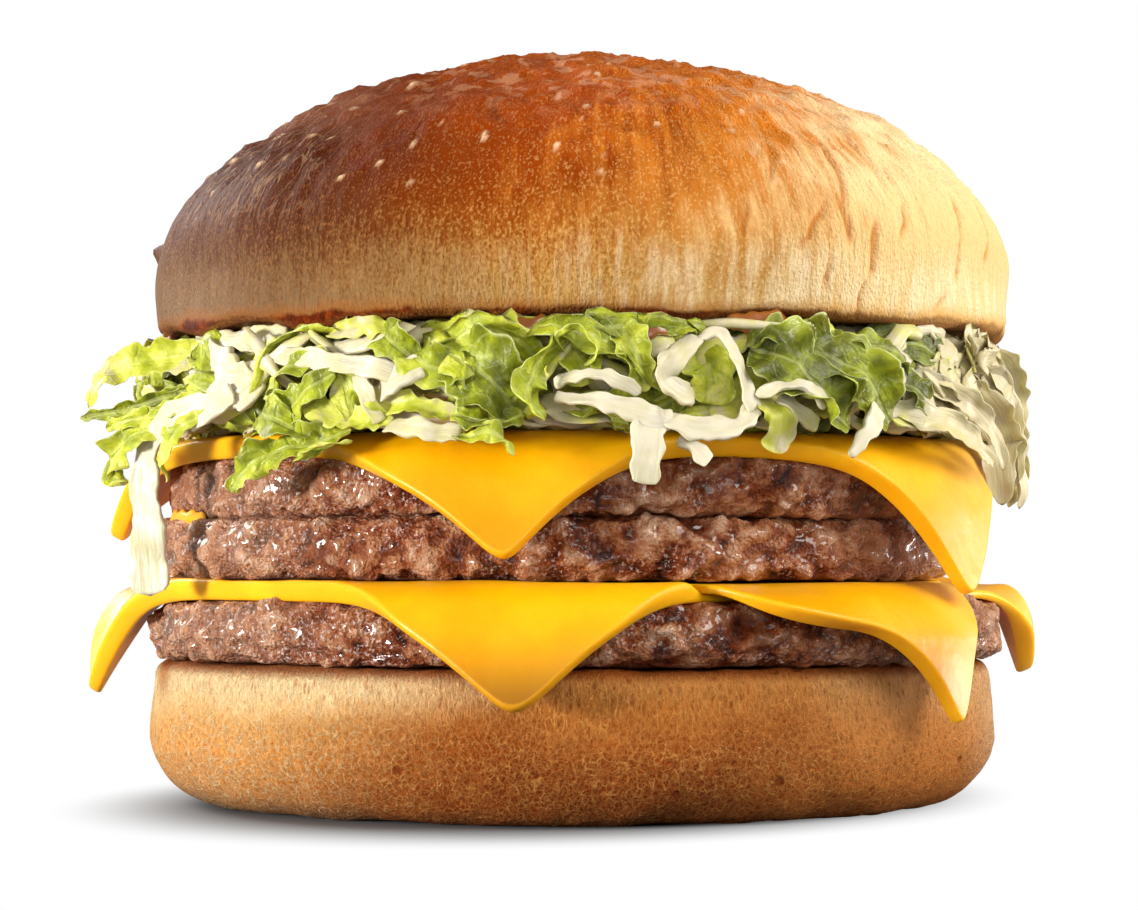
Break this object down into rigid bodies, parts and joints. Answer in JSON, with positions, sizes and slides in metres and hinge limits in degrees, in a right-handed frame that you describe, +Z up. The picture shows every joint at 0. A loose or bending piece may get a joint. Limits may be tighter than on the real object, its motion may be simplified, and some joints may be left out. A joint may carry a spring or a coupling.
{
  "type": "triple cheeseburger",
  "caption": "Tall round burger: a domed glazed bun top, shredded lettuce, stacked beef patties with draped cheese slices, and a browned bun heel to stand on.",
  "frame": {"origin": "middle of the heel's flat underside, on the surface that the burger stands on", "axes": "+Z up through the stack; the front, where the middle corners of the cheese hang, faces -Y; +X to the right seen from the front"},
  "size_m": [0.1148, 0.1136, 0.0874],
  "materials": {
    "top_crust": "baked bun crust with an egg glaze, deep brown on the dome and pale at the rim",
    "heel_crust": "toasted bun heel, golden tan with fine open pores",
    "beef": "seared minced beef, dark brown, lumpy and wet with fat",
    "cheese": "smooth processed cheese, yellow, softened and slightly shiny",
    "lettuce": "crisp shredded lettuce, from white ribs to bright green leaf"
  },
  "bodies": {
    "root": {"bun_heel": "heel_crust", "patty_lower": "beef", "cheese_lower": "cheese", "cheese_side": "cheese", "patty_middle": "beef", "patty_upper": "beef", "cheese_upper": "cheese", "lettuce_heap": "lettuce", "bun_top": "top_crust"}
  },
  "joints": []
}
